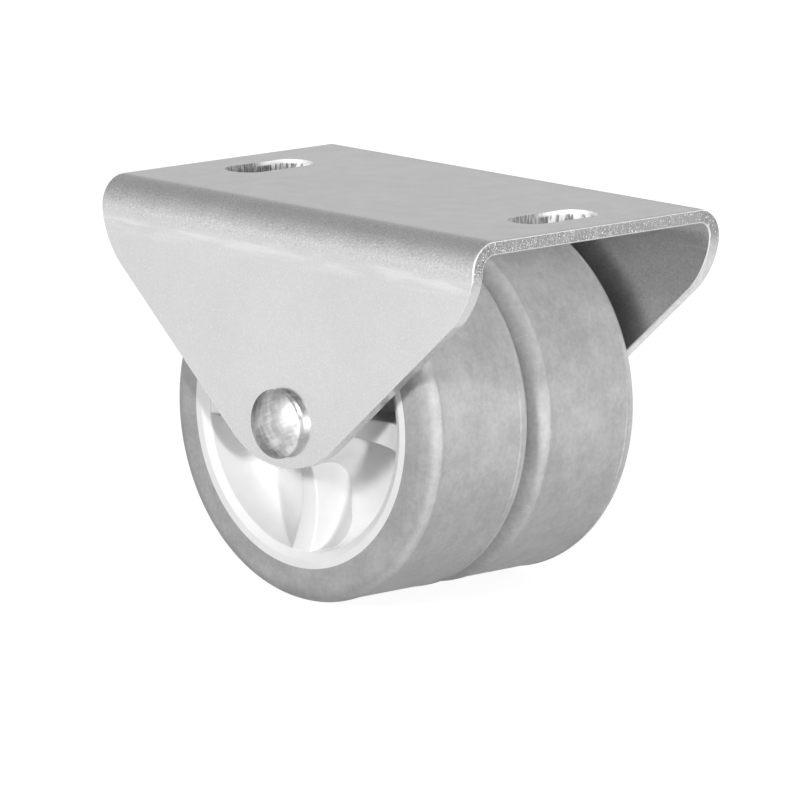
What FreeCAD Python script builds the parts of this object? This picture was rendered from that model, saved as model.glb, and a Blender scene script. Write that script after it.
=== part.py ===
"""Fixed caster: two wheels side by side on one riveted axle under a folded sheet bracket.

Millimetres. The origin is the centre of the mounting plate's top face. +X is the rolling direction,
+Y runs along the axle to the left and +Z points up, into the surface that the plate is screwed to.
"""
import FreeCAD, Part
import math
import os

Vector = FreeCAD.Vector
ORIGIN = Vector(0, 0, 0)
ACROSS = Vector(0, 1, 0)
UP = Vector(0, 0, 1)

# Wheels
wheel_diameter = 50.0
wheel_width = 19.6
wheel_gap = 0.9              # between the two wheels
side_clearance = 1.55        # wheel to cheek
plate_clearance = 2.15       # tread to the underside of the plate

# Tyre
tyre_thickness = 4.8
shoulder_width = 2.1         # along the axle
shoulder_drop = 2.5          # along the radius
shoulder_bulge = 0.5
key_width = 6.0              # rib of the rim that keys the tyre
key_height = 0.8

# Hub
rim_thickness = 2.2
lip_width = 1.1              # bevel inside the rim's face
lip_depth = 0.6
web_thickness = 2.4
pocket_round = 4.0           # outer side; the side towards the other wheel has plain corners
pocket_draft = 3.0           # degrees
boss_wall = 2.0
boss_end_gap = 0.3           # boss to cheek, and boss to boss
spoke_count = 4
spoke_width_at_boss = 2.4
spoke_width_at_rim = 3.8
spoke_drop_at_boss = 1.2     # below the rim's face
spoke_scoop = 2.1            # deepest point of the spoke's hollow front, below the rim's face

# Axle
rivet_diameter = 5.5
rivet_clearance = 0.05
sleeve_wall = 1.2
running_clearance = 0.06
head_diameter = 9.4
head_height = 2.8
head_edge = 0.9              # height of the widest circle above the cheek
set_head_diameter = 8.8
set_head_height = 2.1
set_head_edge = 0.7
head_undercut = 0.6

# Bracket
sheet = 1.9
plate_length = 71.4
bend_inside_radius = 2.0
shoulder_depth = 8.35        # plate top to the corner where the straight taper would start
corner_radius = 13.5
tip_radius = 14.5
tip_drop = 6.2               # axle to the lowest point of the cheek
slot_width = 6.2
slot_length = 14.5
slot_margin = 8.5            # slot centre line to the end of the plate
edge_round = 0.2             # worn edge of the sheared sheet

# Sizes that follow
wheel_radius = wheel_diameter / 2
wheel_offset = (wheel_width + wheel_gap) / 2
rim_face = wheel_width / 2
seat_radius = wheel_radius - tyre_thickness
rim_inner_radius = seat_radius - rim_thickness
rivet_radius = rivet_diameter / 2
sleeve_bore_radius = rivet_radius + rivet_clearance
sleeve_radius = sleeve_bore_radius + sleeve_wall
bore_radius = sleeve_radius + running_clearance
boss_radius = bore_radius + boss_wall
channel_half = wheel_offset + rim_face + side_clearance
plate_half_width = channel_half + sheet
axle_drop = sheet + plate_clearance + wheel_radius
boss_outer_end = channel_half - boss_end_gap - wheel_offset
boss_inner_end = wheel_offset - boss_end_gap / 2


def line(start, end):
    return Part.LineSegment(start, end).toShape()


def arc(start, middle, end):
    return Part.Arc(start, middle, end).toShape()


def rounded_outline(corners):
    """Closed wire through (point, radius) corners, each turned by a tangent arc of its radius."""
    turns = []
    for index, (corner, radius) in enumerate(corners):
        back = (corners[index - 1][0] - corner).normalize()
        ahead = (corners[(index + 1) % len(corners)][0] - corner).normalize()
        half_angle = back.getAngle(ahead) / 2
        reach = radius / math.tan(half_angle)
        inward = (back + ahead).normalize() if radius else ORIGIN
        middle = corner + inward * (radius / math.sin(half_angle) - radius)
        turns.append((corner + back * reach, middle, corner + ahead * reach, radius))
    edges = []
    for index, (start, middle, end, radius) in enumerate(turns):
        if radius:
            edges.append(arc(start, middle, end))
        edges.append(line(end, turns[(index + 1) % len(turns)][0]))
    return Part.Wire(edges)


def flipped(point):
    """Mirror image of a section point across the middle of the wheel."""
    return Vector(point.x, -point.y, 0)


def symmetric_outline(half):
    """Closed wire from one half of a section, its mirror image and the joins between them.

    Each run of the half is two points of a line or three points of an arc.
    """
    edges = [line(half[0][0], flipped(half[0][0])), line(half[-1][-1], flipped(half[-1][-1]))]
    for run in half + [[flipped(point) for point in run] for run in half]:
        edges.append(arc(*run) if len(run) == 3 else line(*run))
    return Part.Wire(Part.sortEdges(edges)[0])


def turned(wire):
    """Solid of revolution about the Y axis from a closed wire in the XY plane."""
    return Part.Face(wire).revolve(ORIGIN, ACROSS, 360)


def placed(shape, offset_y):
    """Copy of a piece made round the Y axis, on the axle; the right one turns to face the other way."""
    copy = shape.copy()
    if offset_y < 0:
        copy.rotate(ORIGIN, UP, 180)
    copy.translate(Vector(0, offset_y, -axle_drop))
    return copy


def make_bracket():
    """Folded sheet: a bent channel, trimmed to the side view of its cheeks, then pierced."""
    lowest = -axle_drop - tip_drop
    outer_bend = bend_inside_radius + sheet
    channel = rounded_outline([
        (Vector(0, -plate_half_width, lowest), 0),
        (Vector(0, -plate_half_width, 0), outer_bend),
        (Vector(0, plate_half_width, 0), outer_bend),
        (Vector(0, plate_half_width, lowest), 0),
        (Vector(0, channel_half, lowest), 0),
        (Vector(0, channel_half, -sheet), bend_inside_radius),
        (Vector(0, -channel_half, -sheet), bend_inside_radius),
        (Vector(0, -channel_half, lowest), 0),
    ])
    folded = Part.Face(channel).extrude(Vector(plate_length, 0, 0))
    folded.translate(Vector(-plate_length / 2, 0, 0))

    run = plate_length / 2
    rise = axle_drop + tip_drop - tip_radius - shoulder_depth
    taper = math.atan2(run, rise) - math.asin(tip_radius / math.hypot(run, rise))
    tip_corner = -shoulder_depth - run / math.tan(taper)
    side_view = rounded_outline([
        (Vector(-run, -plate_half_width, 0), 0),
        (Vector(run, -plate_half_width, 0), 0),
        (Vector(run, -plate_half_width, -shoulder_depth), corner_radius),
        (Vector(0, -plate_half_width, tip_corner), tip_radius),
        (Vector(-run, -plate_half_width, -shoulder_depth), corner_radius),
    ])
    bracket = folded.common(Part.Face(side_view).extrude(ACROSS * 2 * plate_half_width))
    bracket = rounded_edges(bracket)

    hole_radius = rivet_radius + rivet_clearance
    hole_start = Vector(0, -plate_half_width, -axle_drop)
    cuts = [Part.makeCylinder(hole_radius, 2 * plate_half_width, hole_start, ACROSS)]
    for side in (-1, 1):
        cuts.append(make_slot(side * (plate_length / 2 - slot_margin)))
    return bracket.cut(cuts).removeSplitter()


def make_slot(centre_x):
    """Cutter for one round-ended slot across the plate."""
    half_width = slot_width / 2
    half_length = slot_length / 2
    straight = half_length - half_width
    right = [Vector(centre_x + half_width, along, -sheet) for along in (-straight, straight)]
    left = [Vector(centre_x - half_width, along, -sheet) for along in (-straight, straight)]
    wire = Part.Wire([
        line(right[0], right[1]),
        arc(right[1], Vector(centre_x, half_length, -sheet), left[1]),
        line(left[1], left[0]),
        arc(left[0], Vector(centre_x, -half_length, -sheet), right[0]),
    ])
    return Part.Face(wire).extrude(UP * sheet)


def rounded_edges(sheet_part):
    """Breaks the sharp edges where the sheet was sheared, and leaves the smooth lines of the bends."""
    sharp = []
    for edge in sheet_part.Edges:
        middle = edge.valueAt((edge.FirstParameter + edge.LastParameter) / 2)
        normals = []
        for face in sheet_part.ancestorsOfType(edge, Part.Face):
            normals.append(face.normalAt(*face.Surface.parameter(middle)))
        if abs(normals[0].dot(normals[1])) < math.cos(math.radians(30)):
            sharp.append(edge)
    return sheet_part.makeFillet(edge_round, sharp)


def make_hub():
    """Moulded wheel centre about the Y axis, outer side towards +Y."""
    outer_side = hub_side(boss_outer_end, pocket_round)
    inner_side = hub_side(boss_inner_end, 0)
    inner_side = [(flipped(point), turn) for point, turn in reversed(inner_side)]
    body = turned(rounded_outline(outer_side + inner_side))
    return body.fuse(make_spokes()).removeSplitter()


def hub_side(boss_end, floor_round):
    """Section corners of one side of the hub: bore, boss, drafted pocket, web, rim and tyre key."""
    floor = web_thickness / 2
    slope = math.tan(math.radians(pocket_draft))
    boss_root = boss_radius + slope * (boss_end - floor)
    rim_root = rim_inner_radius - slope * (rim_face - lip_depth - floor)
    return [
        (Vector(bore_radius, boss_end, 0), 0),
        (Vector(boss_radius, boss_end, 0), 0),
        (Vector(boss_root, floor, 0), floor_round),
        (Vector(rim_root, floor, 0), floor_round),
        (Vector(rim_inner_radius, rim_face - lip_depth, 0), 0),
        (Vector(rim_inner_radius + lip_width, rim_face, 0), 0),
        (Vector(seat_radius, rim_face, 0), 0),
        (Vector(seat_radius, key_width / 2, 0), 0),
        (Vector(seat_radius + key_height, key_width / 2, 0), 0),
    ]


def make_spokes():
    """Radial spokes on both sides of the web, tapered in plan and hollowed along their fronts."""
    root = Vector((bore_radius + boss_radius) / 2, rim_face - spoke_drop_at_boss, 0)
    at_boss = Vector(boss_radius, root.y, 0)
    hollow = Vector((boss_radius + rim_inner_radius) / 2, rim_face - spoke_scoop, 0)
    at_rim = Vector(rim_inner_radius, rim_face - lip_depth, 0)
    end = Vector((rim_inner_radius + seat_radius) / 2, at_rim.y, 0)
    fronts = turned(symmetric_outline([[root, at_boss], [at_boss, hollow, at_rim], [at_rim, end]]))

    widening = (spoke_width_at_rim - spoke_width_at_boss) / (rim_inner_radius - boss_radius)
    axis_half_width = (spoke_width_at_boss - widening * boss_radius) / 2
    seat_half_width = axis_half_width + widening * seat_radius / 2
    plan = Part.makePolygon([
        Vector(0, -rim_face, -axis_half_width),
        Vector(seat_radius, -rim_face, -seat_half_width),
        Vector(seat_radius, -rim_face, seat_half_width),
        Vector(0, -rim_face, axis_half_width),
        Vector(0, -rim_face, -axis_half_width),
    ])
    spoke = Part.Face(plan).extrude(ACROSS * wheel_width).common(fronts)
    spokes = []
    for index in range(spoke_count):
        copy = spoke.copy()
        copy.rotate(ORIGIN, ACROSS, index * 360 / spoke_count)
        spokes.append(copy)
    return spokes


def make_tyre():
    """Soft tyre about the Y axis: flat tread, rounded shoulders, inner groove over the rim's key."""
    key_top = Vector(seat_radius + key_height, key_width / 2, 0)
    key_foot = Vector(seat_radius, key_width / 2, 0)
    seat_edge = Vector(seat_radius, rim_face, 0)
    side_top = Vector(wheel_radius - shoulder_drop, rim_face, 0)
    tread_edge = Vector(wheel_radius, rim_face - shoulder_width, 0)
    outward = Vector(shoulder_width, shoulder_drop, 0).normalize()
    shoulder = (side_top + tread_edge) * 0.5 + outward * shoulder_bulge
    return turned(symmetric_outline([
        [key_top, key_foot],
        [key_foot, seat_edge],
        [seat_edge, side_top],
        [side_top, shoulder, tread_edge],
    ]))


def head_points(side, diameter, height, edge_height):
    """Points of a domed rivet head outside one cheek, from the top of its dome down to its flat seat."""
    radius = diameter / 2
    rise = height - edge_height
    dome_radius = (radius ** 2 + rise ** 2) / (2 * rise)
    half_angle = math.asin(radius / dome_radius) / 2
    crown_drop = dome_radius * (1 - math.cos(half_angle))
    under_turn = 1 - math.sqrt(0.5)
    section = [
        (0, height),
        (dome_radius * math.sin(half_angle), height - crown_drop),
        (radius, edge_height),
        (radius - head_undercut * under_turn, edge_height * under_turn),
        (radius - head_undercut, 0),
    ]
    return [Vector(across, side * (plate_half_width + along), 0) for across, along in section]


def make_axle_rivet():
    """Solid rivet: domed head outside the right cheek, shank, flatter formed head outside the left cheek."""
    top, crown, rim, under, seat = head_points(-1, head_diameter, head_height, head_edge)
    set_top, set_crown, set_rim, set_under, set_seat = head_points(
        1, set_head_diameter, set_head_height, set_head_edge)
    shank_start = Vector(rivet_radius, -plate_half_width, 0)
    shank_end = Vector(rivet_radius, plate_half_width, 0)
    rivet = turned(Part.Wire([
        arc(top, crown, rim),
        arc(rim, under, seat),
        line(seat, shank_start),
        line(shank_start, shank_end),
        line(shank_end, set_seat),
        arc(set_seat, set_under, set_rim),
        arc(set_rim, set_crown, set_top),
        line(set_top, top),
    ]))
    rivet.translate(Vector(0, 0, -axle_drop))
    return rivet


def make_axle_sleeve():
    """Spacer tube over the rivet, end to end between the cheeks."""
    start = Vector(0, -channel_half, -axle_drop)
    tube = Part.makeCylinder(sleeve_radius, 2 * channel_half, start, ACROSS)
    return tube.cut(Part.makeCylinder(sleeve_bore_radius, 2 * channel_half, start, ACROSS))


hub = make_hub()
tyre = make_tyre()
nodes = {
    "bracket": make_bracket(),
    "axle_rivet": make_axle_rivet(),
    "axle_sleeve": make_axle_sleeve(),
    "right_hub": placed(hub, -wheel_offset),
    "right_tyre": placed(tyre, -wheel_offset),
    "left_hub": placed(hub, wheel_offset),
    "left_tyre": placed(tyre, wheel_offset),
}

os.makedirs("parts", exist_ok=True)
for name, shape in nodes.items():
    shape.exportStep(f"parts/{name}.step")
    print(name, "solids", len(shape.Solids), "volume", round(shape.Volume, 1), "valid", shape.isValid())
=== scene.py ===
"""Looks of the fixed caster: a folded zinc-plated bracket, a riveted axle and two soft-tyred wheels.

Metres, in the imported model's frame: the origin is the centre of the plate's top face, +X is the rolling
direction, +Y runs along the axle to the left and +Z points up.
"""
import math
import bmesh
import bpy
from mathutils import Matrix, Vector


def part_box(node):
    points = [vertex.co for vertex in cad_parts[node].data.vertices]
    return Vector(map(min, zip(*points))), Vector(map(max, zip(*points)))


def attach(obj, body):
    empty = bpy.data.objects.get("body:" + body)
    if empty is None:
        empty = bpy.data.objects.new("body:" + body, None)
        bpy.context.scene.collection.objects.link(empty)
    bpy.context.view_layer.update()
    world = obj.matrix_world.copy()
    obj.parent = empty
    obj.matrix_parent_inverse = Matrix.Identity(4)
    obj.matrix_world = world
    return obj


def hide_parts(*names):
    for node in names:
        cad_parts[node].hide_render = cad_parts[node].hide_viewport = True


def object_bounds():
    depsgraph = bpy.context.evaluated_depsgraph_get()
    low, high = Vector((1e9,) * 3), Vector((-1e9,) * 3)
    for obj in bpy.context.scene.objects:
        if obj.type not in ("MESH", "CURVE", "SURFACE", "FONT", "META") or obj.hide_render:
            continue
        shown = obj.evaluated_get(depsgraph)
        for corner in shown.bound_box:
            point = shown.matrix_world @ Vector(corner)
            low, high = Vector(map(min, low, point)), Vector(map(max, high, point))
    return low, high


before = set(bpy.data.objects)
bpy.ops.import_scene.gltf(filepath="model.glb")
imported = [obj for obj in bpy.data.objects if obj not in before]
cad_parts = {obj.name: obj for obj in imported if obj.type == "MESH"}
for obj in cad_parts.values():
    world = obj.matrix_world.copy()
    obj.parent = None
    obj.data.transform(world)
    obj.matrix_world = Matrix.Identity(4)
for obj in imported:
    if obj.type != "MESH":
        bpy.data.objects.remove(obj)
cad_low, cad_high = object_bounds()

MM = 0.001

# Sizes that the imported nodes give
bracket_low, bracket_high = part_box("bracket")
tyre_low, tyre_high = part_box("right_tyre")
hub_low, hub_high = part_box("right_hub")
rivet_low, rivet_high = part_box("axle_rivet")
plate_end = bracket_high.x
cheek_face = bracket_high.y
cheek_tip = bracket_low.z
wheel_radius = (tyre_high.z - tyre_low.z) / 2
axle_height = (tyre_high.z + tyre_low.z) / 2
wheel_middle = (tyre_high.y + tyre_low.y) / 2
half_width = (tyre_high.y - tyre_low.y) / 2
boss_outer = wheel_middle - hub_low.y
boss_inner = hub_high.y - wheel_middle
key_radius = (hub_high.z - hub_low.z) / 2
head_radius = (rivet_high.z - rivet_low.z) / 2
head_top = -rivet_low.y
set_head_top = rivet_high.y

# Bracket
sheet = 1.9 * MM
bend_radius = 3.9 * MM          # outside of the bend
shoulder_depth = 8.35 * MM      # plate top to the corner where the straight taper would start
corner_radius = 13.5 * MM
tip_radius = 14.5 * MM
slot_width = 6.2 * MM
slot_length = 14.5 * MM
slot_margin = 8.5 * MM          # slot centre line to the end of the plate
worn_edge = 0.18 * MM
# Also the share of the painted edge highlight
outer_wear_and_highlight = 0.3                # share of the wear that the edges away from the channel get

# Tyre and hub
tyre_thickness = 4.8 * MM
shoulder_width = 2.1 * MM
shoulder_fall = 0.52 * MM       # radius lost from the tread's edge to the corner of the side
shoulder_radius = 2.5 * MM
tread_bead = 0.1 * MM           # raised line that the mould leaves along the tread's edges
bead_width = 0.32 * MM
bead_round = 0.1 * MM
bead_crest_round = 0.08 * MM
key_half_width = 3.0 * MM
rim_thickness = 2.2 * MM
lip_width = 1.1 * MM
lip_depth = 0.6 * MM
lip_edge = 0.25 * MM            # rounding of the rim's front corner
lip_root_round = 0.15 * MM
web_half = 1.2 * MM
pocket_round = 4.0 * MM         # outer side; the side towards the other wheel has plain corners
pocket_draft = math.tan(math.radians(3.0))
bore_radius = 4.06 * MM
boss_radius = 6.06 * MM
boss_edge = 0.25 * MM
spoke_count = 4
spoke_width_at_boss = 2.4 * MM
spoke_width_at_rim = 3.8 * MM
spoke_drop_at_boss = 1.2 * MM   # from the side of the wheel in to the spoke's front
spoke_scoop = 2.1 * MM          # the same, half way along the spoke
spoke_edge = 0.3 * MM

# Rivet
shank_radius = 2.75 * MM
head_edge = 0.9 * MM            # height of the widest circle above the cheek
set_head_radius = 4.4 * MM
set_head_edge = 0.7 * MM
head_round = 0.35 * MM          # rounding at the widest circle
head_undercut = 0.25 * MM

# Fineness of the meshes
WHEEL_STEPS = 192
BEND_STEPS = 12
CORNER_STEPS = 16
TIP_STEPS = 24
WEAR_STEPS = 3
SLOT_STEPS = 48
SPOKE_STEPS = 18
SPOKE_EDGE_STEPS = 4
ARC_STEP = math.radians(7.5)
DOME_STEP = math.radians(4)
SMOOTH_ANGLE = math.radians(32)
WEAR_ANGLE = math.radians(40)
MERGE = 0.002 * MM
SHEET_MERGE = 0.05 * MM         # also closes the slivers beside the rounded corners of the sheet
SAME_PLACE = 0.01 * MM

seat_radius = wheel_radius - tyre_thickness
rim_inner = seat_radius - rim_thickness


# Modelling helpers

def start(name):
    """Names the primitive that was just added and moves its place into its mesh."""
    piece = bpy.context.object
    piece.name = name
    piece.data.name = name
    bpy.ops.object.transform_apply(location=True, rotation=True, scale=True)
    return piece


def make_active(piece):
    """Selects one piece alone."""
    bpy.ops.object.select_all(action="DESELECT")
    piece.select_set(True)
    bpy.context.view_layer.objects.active = piece


def pick(piece, kind, wanted):
    """In edit mode, selects only the vertices, edges or faces that pass the test."""
    bpy.ops.mesh.select_mode(type=kind)
    bpy.ops.mesh.select_all(action="DESELECT")
    mesh = bmesh.from_edit_mesh(piece.data)
    for part in {"VERT": mesh.verts, "EDGE": mesh.edges, "FACE": mesh.faces}[kind]:
        part.select_set(wanted(part))
    mesh.select_flush_mode()
    bmesh.update_edit_mesh(piece.data)


def extrude(shift):
    """In edit mode, draws the selection out by a shift."""
    bpy.ops.mesh.extrude_region_move(TRANSFORM_OT_translate={"value": shift})


def middle(edge):
    return (edge.verts[0].co + edge.verts[1].co) / 2


def near(value, target):
    return abs(value - target) < SAME_PLACE


def apply_modifier(piece, kind, **settings):
    """Adds a modifier to the piece, sets it and applies it."""
    make_active(piece)
    modifier = piece.modifiers.new(kind.lower(), kind)
    for key, value in settings.items():
        setattr(modifier, key, value)
    bpy.ops.object.modifier_apply(modifier=modifier.name)


def cut(piece, cutter, operation):
    """Joins the cutter to the piece or takes it away from it, and removes the cutter."""
    apply_modifier(piece, "BOOLEAN", operation=operation, solver="EXACT", object=cutter)
    bpy.data.objects.remove(cutter)


def smooth(piece):
    make_active(piece)
    bpy.ops.object.shade_smooth_by_angle(angle=SMOOTH_ANGLE)


def round_corners(corners):
    """Points of an open outline through (across, along, radius) corners, each turned by an arc."""
    points = []
    for index, (across, along, radius) in enumerate(corners):
        corner = Vector((across, along))
        if not radius:
            points.append(corner)
            continue
        back = (Vector(corners[index - 1][:2]) - corner).normalized()
        ahead = (Vector(corners[index + 1][:2]) - corner).normalized()
        half_angle = back.angle(ahead) / 2
        centre = corner + (back + ahead).normalized() * (radius / math.sin(half_angle))
        first = corner + back * (radius / math.tan(half_angle)) - centre
        turn = math.pi - 2 * half_angle
        if back.x * ahead.y - back.y * ahead.x > 0:
            turn = -turn
        steps = max(2, math.ceil(abs(turn) / ARC_STEP))
        for step in range(steps + 1):
            points.append(centre + Matrix.Rotation(turn * step / steps, 2) @ first)
    return points


def turn_profile(name, points):
    """Solid of revolution about the axle: draws the (radius, along) points one by one and spins them."""
    bpy.ops.object.select_all(action="DESELECT")
    bpy.ops.mesh.primitive_plane_add(size=MM)
    piece = start(name)
    places = [Vector((radius, along, axle_height)) for radius, along in points]
    bpy.ops.object.mode_set(mode="EDIT")
    bpy.ops.mesh.select_mode(type="VERT")
    bpy.ops.mesh.select_all(action="SELECT")
    bpy.ops.mesh.merge(type="CENTER")
    bpy.ops.transform.translate(value=places[0])
    for before, after in zip(places, places[1:]):
        bpy.ops.mesh.extrude_vertices_move(TRANSFORM_OT_translate={"value": after - before})
    bpy.ops.mesh.select_all(action="SELECT")
    bpy.ops.mesh.spin(steps=WHEEL_STEPS, angle=math.tau, center=(0, 0, axle_height), axis=(0, 1, 0))
    bpy.ops.mesh.select_all(action="SELECT")
    bpy.ops.mesh.remove_doubles(threshold=MERGE)
    bpy.ops.mesh.normals_make_consistent(inside=False)
    bpy.ops.object.mode_set(mode="OBJECT")
    return piece


# Pieces

def make_bracket():
    """Flat sheet folded down along its long sides, rounded in outline, thickened, softened at the edges and
    pierced.
    """
    bpy.ops.object.select_all(action="DESELECT")
    bpy.ops.mesh.primitive_plane_add(size=1)
    piece = start("bracket_sheet")
    # The taper leaves the shoulder's corner, touches the round tip and is measured from the vertical
    run = plate_end
    rise = -cheek_tip - tip_radius - shoulder_depth
    taper = math.atan2(run, rise) - math.asin(tip_radius / math.hypot(run, rise))
    tip_depth = shoulder_depth + run / math.tan(taper)

    bpy.ops.object.mode_set(mode="EDIT")
    bpy.ops.transform.resize(value=(2 * plate_end, 2 * cheek_face, 1))
    for side in (-1, 1):
        pick(piece, "EDGE", lambda edge: near(middle(edge).y, side * cheek_face))
        extrude((0, 0, -shoulder_depth))
        extrude((0, 0, shoulder_depth - tip_depth))
        bpy.ops.mesh.merge(type="CENTER")
    pick(piece, "EDGE", lambda edge: near(middle(edge).z, -shoulder_depth) and near(middle(edge).x, 0))
    bpy.ops.mesh.dissolve_edges(use_verts=False)

    pick(piece, "EDGE", lambda edge: near(middle(edge).z, 0) and near(middle(edge).x, 0))
    bpy.ops.mesh.bevel(offset=bend_radius, segments=BEND_STEPS, affect="EDGES")
    shoulder_turn = math.pi / 2 - taper
    pick(piece, "VERT", lambda vertex: near(vertex.co.z, -shoulder_depth))
    bpy.ops.mesh.bevel(offset=corner_radius * math.tan(shoulder_turn / 2), segments=CORNER_STEPS,
                       affect="VERTICES")
    pick(piece, "VERT", lambda vertex: near(vertex.co.z, -tip_depth))
    bpy.ops.mesh.bevel(offset=tip_radius / math.tan(taper), segments=TIP_STEPS, affect="VERTICES")
    bpy.ops.mesh.select_all(action="SELECT")
    bpy.ops.mesh.remove_doubles(threshold=SHEET_MERGE)
    bpy.ops.mesh.normals_make_consistent(inside=False)
    bpy.ops.object.mode_set(mode="OBJECT")

    apply_modifier(piece, "SOLIDIFY", thickness=sheet, offset=-1, use_even_offset=True)
    apply_modifier(piece, "BEVEL", width=worn_edge, segments=WEAR_STEPS, limit_method="ANGLE",
                   angle_limit=WEAR_ANGLE, use_clamp_overlap=False)
    for side in (-1, 1):
        cut(piece, make_slot_punch(side * (plate_end - slot_margin)), "DIFFERENCE")
    smooth(piece)
    apply_modifier(piece, "WEIGHTED_NORMAL", mode="FACE_AREA", weight=100, keep_sharp=True)
    mark_faces(piece)
    return piece


def make_slot_punch(centre_x):
    """Round-ended punch for one slot, pulled out of a cylinder."""
    bpy.ops.object.select_all(action="DESELECT")
    bpy.ops.mesh.primitive_cylinder_add(vertices=SLOT_STEPS, radius=slot_width / 2, depth=3 * sheet,
                                        location=(centre_x, 0, -sheet / 2))
    punch = start("slot_punch")
    straight = (slot_length - slot_width) / 2
    bpy.ops.object.mode_set(mode="EDIT")
    for side in (-1, 1):
        pick(punch, "VERT", lambda vertex: vertex.co.y * side > MERGE)
        bpy.ops.transform.translate(value=(0, side * straight, 0))
    bpy.ops.object.mode_set(mode="OBJECT")
    return punch


def mark_faces(piece):
    """Writes which faces were sheared, lie inside the channel, or are edges bright from wear and painted
    highlight.
    """
    square_on, side_on, off_side = 0.97, 0.3, 0.2       # limits for a face's cosine to one axis
    marks = {"sheared": [], "inner": [], "worn": []}
    for face in piece.data.polygons:
        place, normal = face.center, face.normal
        in_plate = place.z > -bend_radius
        at_slot = place.z > -1.1 * sheet and abs(place.y) < slot_length / 2 + MM
        at_slot = at_slot and abs(abs(place.x) - (plate_end - slot_margin)) < slot_width / 2 + MM
        facing = abs(normal.z) if at_slot else abs(normal.x) if in_plate else abs(normal.y)
        cut_face = facing < side_on if at_slot or not in_plate else facing > square_on
        inward = -normal.z - math.copysign(1.0, place.y) * normal.y
        marks["sheared"].append(float(cut_face))
        at_edge = not cut_face and off_side < facing < square_on
        # Edges get wear and a painted highlight, fully towards the channel and less away from it
        marks["worn"].append((1.0 if inward > 0 else outer_wear_and_highlight) if at_edge else 0.0)
        marks["inner"].append(float(not cut_face and abs(normal.x) < off_side and inward > 0.5))
    for name, values in marks.items():
        piece.data.attributes.new(name, "FLOAT", "FACE").data.foreach_set("value", values)


def make_rivet():
    """Rivet with a domed head outside the right cheek and a flatter formed head outside the left one."""
    heads = []
    for side, top, radius, edge in ((-1, head_top, head_radius, head_edge),
                                    (1, set_head_top, set_head_radius, set_head_edge)):
        rise = top - cheek_face - edge
        flat = radius - head_round
        dome_radius = (flat ** 2 + rise ** 2 - head_round ** 2) / (2 * (rise - head_round))
        reach = math.asin(flat / (dome_radius - head_round))
        section = []
        for angle in steps_between(0, reach):
            section.append((dome_radius * math.sin(angle), top - dome_radius * (1 - math.cos(angle))))
        for angle in steps_between(reach, math.pi / 2)[1:]:
            section.append((flat + head_round * math.sin(angle),
                            cheek_face + edge + head_round * math.cos(angle)))
        section.append((radius - head_undercut, cheek_face))
        section.append((shank_radius, cheek_face))
        heads.append([(across, side * along) for across, along in section])
    piece = turn_profile("rivet", heads[0] + heads[1][::-1])
    smooth(piece)
    return piece


def steps_between(first, last):
    """Even angles from the first to the last, a few degrees apart."""
    count = math.ceil((last - first) / DOME_STEP)
    return [first + (last - first) * step / count for step in range(count + 1)]


def make_tyre():
    """Soft tyre of the right wheel: flat tread between fine mould lines, rounded shoulders, keyed seat."""
    half = [
        (key_radius, key_half_width, 0),
        (seat_radius, key_half_width, 0),
        (seat_radius, half_width, 0),
        (wheel_radius - shoulder_fall, half_width, shoulder_radius),
        (wheel_radius, half_width - shoulder_width, bead_round),
        (wheel_radius, half_width - shoulder_width - bead_width, bead_crest_round),
        (wheel_radius - tread_bead, half_width - shoulder_width - 1.6 * bead_width, bead_round),
    ]
    other = [(across, -along, radius) for across, along, radius in reversed(half)]
    outline = round_corners(half + other)
    outline.append(outline[0])
    piece = turn_profile("right_tyre_skin", [(p.x, wheel_middle + p.y) for p in outline])
    smooth(piece)
    return piece


def hub_side(boss_end, floor_round):
    """Section corners of one side of the hub, from the bore out to the seat of the tyre."""
    boss_root = boss_radius + pocket_draft * (boss_end - web_half)
    rim_root = rim_inner - pocket_draft * (half_width - lip_depth - web_half)
    return [
        (bore_radius, boss_end, 0),
        (boss_radius, boss_end, boss_edge),
        (boss_root, web_half, floor_round),
        (rim_root, web_half, floor_round),
        (rim_inner, half_width - lip_depth, lip_root_round),
        (rim_inner + lip_width, half_width, lip_edge),
        (seat_radius, half_width, 0),
        (seat_radius, key_half_width, 0),
        (key_radius, key_half_width, 0),
    ]


def make_hub():
    """Moulded hub of the right wheel: rim, web and boss in one turn, with spokes moulded on both sides."""
    outer = [(across, -along, radius) for across, along, radius in hub_side(boss_outer, pocket_round)]
    inner = list(reversed(hub_side(boss_inner, 0)))
    outline = round_corners(outer + inner)
    outline.append(outline[0])
    piece = turn_profile("right_hub_moulding", [(p.x, wheel_middle + p.y) for p in outline])
    cut(piece, make_spokes(), "UNION")
    smooth(piece)
    return piece


def spoke_front(radius):
    """Distance of the spoke's front from the middle of the wheel, hollowed as a parabola."""
    at_boss = half_width - spoke_drop_at_boss
    at_rim = half_width - lip_depth
    half_way = half_width - spoke_scoop
    share = min(max((radius - boss_radius) / (rim_inner - boss_radius), 0), 1)
    return (at_boss * (1 - share) * (1 - 2 * share) + half_way * 4 * share * (1 - share)
            + at_rim * share * (2 * share - 1))


def spoke_width(radius):
    share = (radius - boss_radius) / (rim_inner - boss_radius)
    return spoke_width_at_boss + share * (spoke_width_at_rim - spoke_width_at_boss)


def on_first_spoke(face):
    place = face.calc_center_median()
    return place.x > abs(place.z - axle_height)


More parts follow.
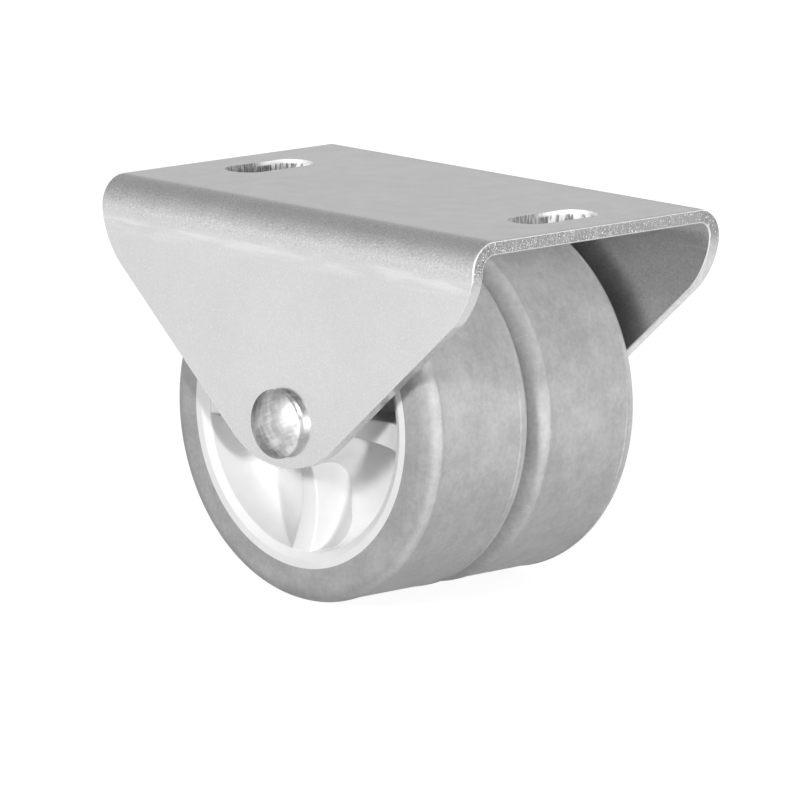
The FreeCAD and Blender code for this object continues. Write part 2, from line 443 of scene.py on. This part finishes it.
def make_spokes():
    """One spoke drawn out from a plane in short steps, its edges softened, then copied round the axle."""
    first = (bore_radius + boss_radius) / 2
    last = (rim_inner + seat_radius) / 2
    centre = Vector((0, wheel_middle, axle_height))
    bpy.ops.object.select_all(action="DESELECT")
    bpy.ops.mesh.primitive_plane_add(size=1, rotation=(0, math.pi / 2, 0),
                                     location=centre + Vector((first, 0, 0)))
    spokes = start("spokes")
    bpy.ops.object.mode_set(mode="EDIT")
    bpy.ops.mesh.select_mode(type="FACE")
    bpy.ops.mesh.select_all(action="SELECT")
    bpy.ops.transform.resize(value=(1, 2 * spoke_front(first), spoke_width(first)),
                             center_override=centre + Vector((first, 0, 0)))
    before = first
    for step in range(1, SPOKE_STEPS + 1):
        radius = first + (last - first) * step / SPOKE_STEPS
        extrude((radius - before, 0, 0))
        growth = (1, spoke_front(radius) / spoke_front(before), spoke_width(radius) / spoke_width(before))
        bpy.ops.transform.resize(value=growth, center_override=centre + Vector((radius, 0, 0)))
        before = radius
    bpy.ops.mesh.select_all(action="SELECT")
    bpy.ops.mesh.normals_make_consistent(inside=False)
    pick(spokes, "EDGE", lambda edge: abs(edge.verts[0].co.x - edge.verts[1].co.x) > MERGE)
    bpy.ops.mesh.bevel(offset=spoke_edge, segments=SPOKE_EDGE_STEPS, affect="EDGES")
    for turn in range(1, spoke_count):
        pick(spokes, "FACE", on_first_spoke)
        bpy.ops.mesh.duplicate()
        bpy.ops.transform.rotate(value=math.tau * turn / spoke_count, orient_axis="Y",
                                 center_override=centre)
    bpy.ops.object.mode_set(mode="OBJECT")
    return spokes


def copy_for_left_wheel(piece, name):
    """The same piece on the left wheel, turned half round the upright axis, with a mesh of its own."""
    make_active(piece)
    bpy.ops.object.duplicate()
    twin = bpy.context.object
    bpy.ops.transform.rotate(value=math.pi, orient_axis="Z", center_override=(0, 0, 0))
    twin.name = name
    twin.data.name = name
    bpy.ops.object.transform_apply(location=True, rotation=True, scale=True)
    return twin


# Finishes

def add(tree, kind, inputs=None, **settings):
    """New node; each input is a value, or another node's output to link."""
    node = tree.nodes.new(kind)
    for key, value in settings.items():
        setattr(node, key, value)
    for key, value in (inputs or {}).items():
        if isinstance(value, bpy.types.NodeSocket):
            tree.links.new(value, node.inputs[key])
        else:
            node.inputs[key].default_value = value
    return node


def new_group(name, inputs, output):
    """Empty node group with a vector, number inputs with their defaults and one number output."""
    group = bpy.data.node_groups.new(name, "ShaderNodeTree")
    group.interface.new_socket("Vector", in_out="INPUT", socket_type="NodeSocketVector")
    for key, value in inputs.items():
        group.interface.new_socket(key, in_out="INPUT", socket_type="NodeSocketFloat").default_value = value
    group.interface.new_socket(output, in_out="OUTPUT", socket_type="NodeSocketFloat")
    return group, group.nodes.new("NodeGroupInput"), group.nodes.new("NodeGroupOutput")


def make_speckle_group():
    """Fine grains: a mask that is 1 where noise passes the upper bound and 0 under the lower one."""
    group, source, sink = new_group("speckle", {"Scale": 3000, "Lower": 0.5, "Upper": 0.7}, "Mask")
    noise = add(group, "ShaderNodeTexNoise", {"Vector": source.outputs["Vector"],
                                              "Scale": source.outputs["Scale"], "Detail": 2.0})
    mask = add(group, "ShaderNodeMapRange", {"Value": noise.outputs["Fac"],
                                             "From Min": source.outputs["Lower"],
                                             "From Max": source.outputs["Upper"]},
               interpolation_type="SMOOTHSTEP")
    group.links.new(mask.outputs["Result"], sink.inputs["Mask"])
    return group


def make_blotch_group():
    """Soft cloudy marks: a factor that wanders about 1 by the given depth."""
    group, source, sink = new_group("blotches", {"Scale": 100, "Depth": 0.1}, "Factor")
    noise = add(group, "ShaderNodeTexNoise", {"Vector": source.outputs["Vector"],
                                              "Scale": source.outputs["Scale"], "Detail": 5.0})
    low = add(group, "ShaderNodeMath", {0: 1.0, 1: source.outputs["Depth"]}, operation="SUBTRACT")
    high = add(group, "ShaderNodeMath", {0: 1.0, 1: source.outputs["Depth"]}, operation="ADD")
    factor = add(group, "ShaderNodeMapRange", {"Value": noise.outputs["Fac"],
                                               "From Min": 0.3, "From Max": 0.7,
                                               "To Min": low.outputs[0], "To Max": high.outputs[0]})
    group.links.new(factor.outputs["Result"], sink.inputs["Factor"])
    return group


SPECKLE = make_speckle_group()
BLOTCHES = make_blotch_group()


def use(tree, group, vector, **inputs):
    """Places a shared group in a material with its own values."""
    return add(tree, "ShaderNodeGroup", {"Vector": vector, **inputs}, node_tree=group).outputs[0]


def arithmetic(tree, operation, first, second=0.0):
    """One number worked out of two, or of the first alone."""
    return add(tree, "ShaderNodeMath", {0: first, 1: second}, operation=operation).outputs[0]


def product(tree, first, *others):
    """All the numbers multiplied."""
    for other in others:
        first = arithmetic(tree, "MULTIPLY", first, other)
    return first


def vector_math(tree, operation, first, second=(0, 0, 0)):
    """One vector worked out of two; a length or a dot product comes out as a number."""
    node = add(tree, "ShaderNodeVectorMath", {0: first, 1: second}, operation=operation)
    return node.outputs["Value" if operation in ("LENGTH", "DOT_PRODUCT") else "Vector"]


def split_axes(tree, vector):
    """The x, y and z of a vector."""
    return tuple(add(tree, "ShaderNodeSeparateXYZ", {"Vector": vector}).outputs)


def blend_colours(tree, share, first, second):
    """Mix of two colours, either of which may be a grey level or a colour output."""
    mix = add(tree, "ShaderNodeMix", data_type="RGBA")
    for socket, value in ((mix.inputs[0], share), (mix.inputs[6], first), (mix.inputs[7], second)):
        if isinstance(value, bpy.types.NodeSocket):
            tree.links.new(value, socket)
        elif socket.type == "RGBA":
            socket.default_value = (value, value, value, 1)
        else:
            socket.default_value = value
    return mix.outputs[2]


def scale_colour(tree, colour, factor):
    """A colour made lighter or darker by a factor."""
    node = add(tree, "ShaderNodeVectorMath", {0: colour, "Scale": factor}, operation="SCALE")
    return node.outputs["Vector"]


def ramp(tree, value, low, high, to_low=0.0, to_high=1.0):
    """Smooth step of a value from one range to another."""
    node = add(tree, "ShaderNodeMapRange", {"Value": value, "From Min": low, "From Max": high,
                                            "To Min": to_low, "To Max": to_high},
               interpolation_type="SMOOTHSTEP")
    return node.outputs["Result"]


def new_material(name, **plain):
    """Principled material with its plain socket values set; gives the material, tree, shader and place."""
    material = bpy.data.materials.new(name)
    material.use_nodes = True
    tree = material.node_tree
    shader = tree.nodes["Principled BSDF"]
    for key, value in plain.items():
        shader.inputs[key.replace("_", " ")].default_value = value
    place = add(tree, "ShaderNodeTexCoord").outputs["Object"]
    return material, tree, shader, place


def bump(tree, shader, height, distance):
    """Gives the surface a fine relief."""
    node = add(tree, "ShaderNodeBump", {"Height": height, "Distance": distance})
    tree.links.new(node.outputs["Normal"], shader.inputs["Normal"])


def sheared_colour(tree, place, torn):
    """Bare cut steel: scored and partly burnished in the slots, torn and sparkling at the plate's ends."""
    scored_dark, scored_light, burnished_bright = 0.2, 0.5, 0.92
    torn_dark, torn_light, dulled, spark = 0.19, 0.64, 0.3, 0.98
    x, y, z = split_axes(tree, place)

    drawn = vector_math(tree, "MULTIPLY", place, (1.0, 1.0, 0.2))
    scored = use(tree, SPECKLE, drawn, Scale=3600.0, Lower=0.38, Upper=0.68)
    bars = use(tree, SPECKLE, drawn, Scale=1300.0, Lower=0.46, Upper=0.54)
    top_band = ramp(tree, z, -0.4 * sheet, -0.2 * sheet)
    left_end = ramp(tree, y, -1.0 * MM, 3.0 * MM)
    burnished = product(tree, arithmetic(tree, "MAXIMUM", top_band, bars), left_end)
    slot_wall = blend_colours(tree, scored, scored_dark, scored_light)
    slot_wall = blend_colours(tree, burnished, slot_wall, burnished_bright)

    sparks = use(tree, SPECKLE, place, Scale=4600.0, Lower=0.64, Upper=0.7)
    torn_share = product(tree, torn, ramp(tree, scored, 0.0, 1.0, 0.45, 1.0))
    dull_share = ramp(tree, y, -2.0 * MM, 14.0 * MM, 0.0, 0.6)
    end_face = blend_colours(tree, torn_share, torn_dark, torn_light)
    end_face = blend_colours(tree, dull_share, end_face, dulled)
    end_face = blend_colours(tree, sparks, end_face, spark)
    at_plate_end = ramp(tree, arithmetic(tree, "ABSOLUTE", x), plate_end - 0.8 * MM, plate_end - 0.4 * MM)
    return blend_colours(tree, at_plate_end, slot_wall, end_face)


def zinc_sheet_finish():
    """Satin zinc plating of the bracket.

    Grains and pits are coarser on the bends and inside the channel, which painted shade darkens a little.
    The die left streaks under the bends, the steel is bare where the sheet was sheared, and the edges are
    bright from wear and from a painted highlight.
    """
    plating_grey, grain_grey, pit_grey = 0.645, 0.83, 0.45
    streak_grey, painted_channel_shade_grey, painted_channel_shade_share = 0.85, 0.3, 0.14
    # Edge grey, share and metallic: wear with a painted highlight
    worn_grey, worn_share, worn_metallic = 0.8, 0.8, 0.25
    bend_roughness, cut_roughness = 0.2, 0.3
    grain_height, peel_height, torn_height = 0.06, 0.65, 0.6
    material, tree, shader, place = new_material("zinc_plating")
    _, y, z = split_axes(tree, place)
    across = arithmetic(tree, "ABSOLUTE", y)
    bend = product(tree, ramp(tree, across, cheek_face - 1.2 * bend_radius, cheek_face - 0.7 * bend_radius),
                   ramp(tree, z, -1.6 * bend_radius, -0.9 * bend_radius))
    sheared, inner, worn = (add(tree, "ShaderNodeAttribute", attribute_name=name).outputs["Fac"]
                            for name in ("sheared", "inner", "worn"))
    sheared = product(tree, sheared, ramp(tree, z, -2.0 * bend_radius, -0.7 * bend_radius, 0.12, 1.0))

    cloud = use(tree, BLOTCHES, place, Scale=60.0, Depth=0.03)
    grain = use(tree, SPECKLE, place, Scale=4200.0, Lower=0.5, Upper=0.72)
    pits = use(tree, SPECKLE, place, Scale=2900.0, Lower=0.56, Upper=0.7)
    coarse = arithmetic(tree, "MAXIMUM", bend, inner)
    grain_share = product(tree, grain, ramp(tree, coarse, 0.0, 1.0, 0.3, 0.9))
    pit_share = product(tree, pits, ramp(tree, coarse, 0.0, 1.0, 0.1, 0.55))
    colour = blend_colours(tree, grain_share, plating_grey, grain_grey)
    colour = blend_colours(tree, pit_share, colour, pit_grey)
    colour = scale_colour(tree, colour, cloud)

    dragged = vector_math(tree, "MULTIPLY", place, (0.12, 1.0, 1.0))
    streaks = product(tree, use(tree, SPECKLE, dragged, Scale=900.0, Lower=0.38, Upper=0.66),
                      ramp(tree, z, -2.1 * bend_radius, -1.5 * bend_radius),
                      ramp(tree, z, -1.45 * bend_radius, -1.15 * bend_radius, 0.42, 0.0))
    colour = blend_colours(tree, streaks, colour, streak_grey)
    # Painted shade: the plating inside the channel is darkened a little
    colour = blend_colours(tree, product(tree, inner, painted_channel_shade_share), colour, painted_channel_shade_grey)
    torn = use(tree, SPECKLE, place, Scale=6500.0, Lower=0.4, Upper=0.66)
    colour = blend_colours(tree, sheared, colour, sheared_colour(tree, place, torn))
    # Edges are lightened for wear and as a painted highlight, and made less metallic so that they light up
    colour = blend_colours(tree, product(tree, worn, worn_share), colour, worn_grey)
    tree.links.new(colour, shader.inputs["Base Color"])
    tree.links.new(ramp(tree, worn, 0.0, 1.0, 1.0, worn_metallic), shader.inputs["Metallic"])

    rough = ramp(tree, use(tree, BLOTCHES, place, Scale=260.0, Depth=1.0), 0.0, 2.0, 0.22, 0.26)
    rough = arithmetic(tree, "ADD", rough, product(tree, bend, bend_roughness))
    cut_or_worn = arithmetic(tree, "MAXIMUM", sheared, worn)
    rough = arithmetic(tree, "ADD", rough, product(tree, cut_or_worn, cut_roughness))
    tree.links.new(rough, shader.inputs["Roughness"])

    peel = use(tree, SPECKLE, place, Scale=3600.0, Lower=0.3, Upper=0.7)
    height = product(tree, grain, grain_height)
    height = arithmetic(tree, "ADD", height, product(tree, peel, bend, peel_height))
    height = arithmetic(tree, "ADD", height, product(tree, torn, sheared, torn_height))
    bump(tree, shader, height, 0.03 * MM)
    return material


def rivet_finish():
    """Dull steel with smudges and strokes from the heading tool; painted dark reflection towards the lower
    rear.
    """
    dark_steel, bright_steel, painted_dark_reflection_grey = 0.4, 0.82, 0.13
    lower_rear = (-0.8, 0, -0.6)
    stroke_angles = (0.5, 2.0)
    material, tree, shader, place = new_material("scuffed_rivet_steel", Metallic=1.0)
    cloud = use(tree, BLOTCHES, place, Scale=240.0, Depth=0.25)
    strokes = use(tree, BLOTCHES, place, Scale=700.0, Depth=0.08)
    for angle in stroke_angles:
        turned = add(tree, "ShaderNodeVectorRotate", {"Vector": place, "Angle": angle},
                     rotation_type="Y_AXIS").outputs["Vector"]
        drawn = vector_math(tree, "MULTIPLY", turned, (1.0, 0.6, 0.2))
        strokes = product(tree, strokes, use(tree, BLOTCHES, drawn, Scale=1700.0, Depth=0.13))
    level = product(tree, cloud, strokes)

    # Painted dark reflection: the head is darker towards its lower rear and its rim, most on the darker
    # smudges
    from_axle = vector_math(tree, "SUBTRACT", place, (0, 0, axle_height))
    flat = vector_math(tree, "MULTIPLY", from_axle, (1, 0, 1))
    reach = vector_math(tree, "LENGTH", flat)
    low_side = vector_math(tree, "DOT_PRODUCT", flat, lower_rear)
    painted_dark_reflection = product(tree, ramp(tree, low_side, -0.35 * head_radius, 0.45 * head_radius, 0.05, 0.95),
                    ramp(tree, reach, 0.2 * head_radius, 0.9 * head_radius, 0.6, 1.0),
                    ramp(tree, level, 0.6, 1.4, 1.0, 0.6))
    steel = blend_colours(tree, ramp(tree, level, 0.65, 1.35), dark_steel, bright_steel)
    tree.links.new(blend_colours(tree, painted_dark_reflection, steel, painted_dark_reflection_grey), shader.inputs["Base Color"])
    tree.links.new(ramp(tree, cloud, 0.75, 1.25, 0.48, 0.4), shader.inputs["Roughness"])
    bump(tree, shader, level, 0.008 * MM)
    return material


def sleeve_finish():
    """Plain drawn tube."""
    dark_steel, light_steel = 0.42, 0.55
    material, tree, shader, place = new_material("drawn_tube_steel", Metallic=1.0)
    cloud = use(tree, BLOTCHES, place, Scale=300.0, Depth=0.2)
    steel = blend_colours(tree, ramp(tree, cloud, 0.8, 1.2), dark_steel, light_steel)
    tree.links.new(steel, shader.inputs["Base Color"])
    tree.links.new(ramp(tree, cloud, 0.8, 1.2, 0.42, 0.3), shader.inputs["Roughness"])
    return material


def hub_finish():
    """White moulded plastic with a satin skin."""
    shaded_white, full_white = 0.85, 0.89
    material, tree, shader, place = new_material("white_hub_plastic", IOR=1.5)
    cloud = use(tree, BLOTCHES, place, Scale=180.0, Depth=0.5)
    white = blend_colours(tree, ramp(tree, cloud, 0.5, 1.5), shaded_white, full_white)
    tree.links.new(white, shader.inputs["Base Color"])
    tree.links.new(ramp(tree, cloud, 0.5, 1.5, 0.36, 0.46), shader.inputs["Roughness"])
    skin = use(tree, SPECKLE, place, Scale=2600.0, Lower=0.3, Upper=0.7)
    bump(tree, shader, skin, 0.004 * MM)
    return material


def tyre_finish():
    """Grey elastomer, cloudy and grained, faint rolling streaks; painted sheen on shoulders, painted shade
    on sides.
    """
    dark_grey, light_grey, speck_grey, speck_share = 0.415, 0.605, 0.7, 0.45
    # Factors for a painted sheen on the shoulders and painted shade on the outer and inner sides
    painted_shoulder_sheen, painted_outer_side_shade, painted_inner_side_shade = 1.15, 0.67, 0.82
    streak_length = 2.0 * MM        # of the streak pattern, for one radian round the wheel
    material, tree, shader, place = new_material("grey_tyre_elastomer", IOR=1.45)
    x, y, z = split_axes(tree, vector_math(tree, "SUBTRACT", place, (0, 0, axle_height)))
    rolled_x = product(tree, arithmetic(tree, "ARCTAN2", x, z), streak_length)
    rolled = add(tree, "ShaderNodeCombineXYZ", {"X": rolled_x, "Y": y}).outputs["Vector"]
    cloud = use(tree, BLOTCHES, place, Scale=170.0, Depth=0.09)
    patch = use(tree, BLOTCHES, place, Scale=1500.0, Depth=0.09)
    smear = use(tree, BLOTCHES, place, Scale=430.0, Depth=0.08)
    streak = use(tree, BLOTCHES, rolled, Scale=700.0, Depth=0.03)
    level = product(tree, cloud, patch, smear, streak)
    grey = blend_colours(tree, ramp(tree, level, 0.72, 1.28), dark_grey, light_grey)
    specks = use(tree, SPECKLE, place, Scale=4200.0, Lower=0.6, Upper=0.72)
    grey = blend_colours(tree, product(tree, specks, speck_share), grey, speck_grey)

    outward = arithmetic(tree, "SUBTRACT", arithmetic(tree, "ABSOLUTE", y), abs(wheel_middle))
    from_middle = arithmetic(tree, "ABSOLUTE", outward)
    shoulder_start, shoulder_full = half_width - 1.1 * shoulder_width, half_width - 0.95 * shoulder_width
    side_start, side_full = half_width - 0.75 * shoulder_width, half_width - 0.2 * shoulder_width
    # Painted light: the shoulders are lightened as a sheen, and the sides are darkened as shade, less on
    # the sides facing the other wheel
    shade = product(tree, ramp(tree, from_middle, shoulder_start, shoulder_full, 1.0, painted_shoulder_sheen),
                    ramp(tree, outward, side_start, side_full, 1.0, painted_outer_side_shade),
                    ramp(tree, outward, -side_full, -side_start, painted_inner_side_shade, 1.0))
    tree.links.new(scale_colour(tree, grey, shade), shader.inputs["Base Color"])
    tree.links.new(ramp(tree, patch, 0.9, 1.1, 0.44, 0.56), shader.inputs["Roughness"])
    grain = use(tree, SPECKLE, place, Scale=2600.0, Lower=0.25, Upper=0.75)
    bump(tree, shader, arithmetic(tree, "ADD", grain, patch), 0.012 * MM)
    return material


# Stage

def seen_by_eye(tree):
    """1 for rays that show a surface, directly, mirrored or through glass; 0 for rays that light it."""
    path = add(tree, "ShaderNodeLightPath")
    seen = arithmetic(tree, "MAXIMUM", path.outputs["Is Camera Ray"], path.outputs["Is Glossy Ray"])
    return arithmetic(tree, "MAXIMUM", seen, path.outputs["Is Transmission Ray"])


def make_floor():
    """Round pale floor; it stays white to the eye and keeps the shadow."""
    paint_grey = (0.2, 0.2, 0.2, 1)
    glow_near, glow_far = 0.92, 1.0
    bpy.ops.object.select_all(action="DESELECT")
    bpy.ops.mesh.primitive_circle_add(vertices=128, radius=1.0, fill_type="NGON",
                                      location=(0, 0, axle_height - wheel_radius))
    floor = start("floor")

    material = bpy.data.materials.new("pale_floor")
    material.use_nodes = True
    tree = material.node_tree
    tree.nodes.clear()
    place = add(tree, "ShaderNodeTexCoord").outputs["Object"]
    glow = ramp(tree, vector_math(tree, "LENGTH", place), 0.08, 0.25, glow_near, glow_far)
    paint = add(tree, "ShaderNodeBsdfDiffuse", {"Color": paint_grey}).outputs[0]
    white = add(tree, "ShaderNodeEmission", {"Color": (1, 1, 1, 1), "Strength": glow}).outputs[0]
    pale = add(tree, "ShaderNodeAddShader", {0: paint, 1: white}).outputs[0]
    shown = add(tree, "ShaderNodeMixShader", {0: seen_by_eye(tree), 1: paint, 2: pale}).outputs[0]
    add(tree, "ShaderNodeOutputMaterial", {"Surface": shown})
    floor.data.materials.append(material)


def make_world():
    """Studio surround, white to the camera; metal shows it pale low down, with a dark gap at the rear.

    It lights the rest dimly, and more from the rear left, where no lamp stands.
    """
    horizon, overhead, gap = 0.7, 0.4, 0.12
    gap_direction, fill_direction = (-0.99, 0.14, 0.0), (-0.8, 0.55, 0.25)
    dim_fill, full_fill = 0.05, 0.65
    world = bpy.data.worlds.new("studio")
    bpy.context.scene.world = world
    world.use_nodes = True
    tree = world.node_tree
    direction = add(tree, "ShaderNodeTexCoord").outputs["Generated"]
    _, _, height = split_axes(tree, direction)
    tone = blend_colours(tree, ramp(tree, height, 0.1, 0.75), horizon, overhead)
    towards_gap = vector_math(tree, "DOT_PRODUCT", direction, gap_direction)
    tone = blend_colours(tree, ramp(tree, towards_gap, 0.83, 0.97, 0.0, 0.75), tone, gap)
    towards_fill = vector_math(tree, "DOT_PRODUCT", direction, fill_direction)
    fill = ramp(tree, towards_fill, 0.1, 0.9, dim_fill, full_fill)
    shown = blend_colours(tree, seen_by_eye(tree), fill, tone)
    shown = blend_colours(tree, add(tree, "ShaderNodeLightPath").outputs["Is Camera Ray"], shown, 1.0)
    tree.links.new(shown, tree.nodes["Background"].inputs["Color"])


def towards(azimuth, elevation):
    """Direction at an azimuth and an elevation in degrees; azimuth 0 is the right side and 90 the front."""
    turn, tilt = math.radians(azimuth), math.radians(elevation)
    return Vector((math.sin(turn) * math.cos(tilt), -math.cos(turn) * math.cos(tilt), math.sin(tilt)))


def make_softbox(name, azimuth, elevation, size, power):
    """Square lamp aimed at the caster's middle."""
    distance = 0.9
    lamp = bpy.data.lights.new(name, "AREA")
    lamp.size = size
    lamp.energy = power
    holder = bpy.data.objects.new(name, lamp)
    bpy.context.scene.collection.objects.link(holder)
    back = towards(azimuth, elevation)
    holder.location = (cad_low + cad_high) / 2 + back * distance
    holder.rotation_euler = back.to_track_quat("Z", "Y").to_euler()


def make_camera():
    """Long lens at the photograph's angle, framed by where the plate's middle stands in the picture."""
    azimuth, elevation, roll = 45.145, 10.908, math.radians(0.894)
    distance = 1.08014
    plate_right, plate_above = 1.185 * MM, 28.288 * MM
    back = towards(azimuth, elevation)
    level_right = (-back).cross(Vector((0, 0, 1))).normalized()
    level_up = level_right.cross(-back)
    right = level_right * math.cos(roll) + level_up * math.sin(roll)
    up = level_up * math.cos(roll) - level_right * math.sin(roll)
    lens = bpy.data.cameras.new("camera")
    lens.lens = 359.38
    lens.sensor_width = 36.0
    lens.clip_start = 0.05
    camera = bpy.data.objects.new("camera", lens)
    bpy.context.scene.collection.objects.link(camera)
    camera.matrix_world = Matrix((right, up, back)).transposed().to_4x4()
    camera.location = back * distance - right * plate_right - up * plate_above
    bpy.context.scene.camera = camera


def dress(piece, material, body, node):
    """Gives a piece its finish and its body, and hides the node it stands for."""
    piece.data.materials.clear()
    piece.data.materials.append(material)
    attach(piece, body)
    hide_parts(node)


zinc = zinc_sheet_finish()
white_plastic = hub_finish()
grey_elastomer = tyre_finish()

right_hub = make_hub()
right_tyre = make_tyre()
left_hub = copy_for_left_wheel(right_hub, "left_hub_moulding")
left_tyre = copy_for_left_wheel(right_tyre, "left_tyre_skin")
dress(make_bracket(), zinc, "frame", "bracket")
dress(make_rivet(), rivet_finish(), "frame", "axle_rivet")
dress(right_hub, white_plastic, "right_wheel", "right_hub")
dress(right_tyre, grey_elastomer, "right_wheel", "right_tyre")
dress(left_hub, white_plastic, "left_wheel", "left_hub")
dress(left_tyre, grey_elastomer, "left_wheel", "left_tyre")
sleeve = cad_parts["axle_sleeve"]
sleeve.data.materials.clear()
sleeve.data.materials.append(sleeve_finish())

make_floor()
make_world()
make_softbox("front_softbox", azimuth=62, elevation=6.5, size=0.06, power=4.2)
make_softbox("right_softbox", azimuth=12, elevation=22, size=0.15, power=4.8)
make_softbox("front_left_softbox", azimuth=118, elevation=8, size=0.3, power=1.7)
make_softbox("left_softbox", azimuth=172, elevation=18, size=0.4, power=2.2)
make_camera()
bpy.context.scene.view_settings.view_transform = "Standard"
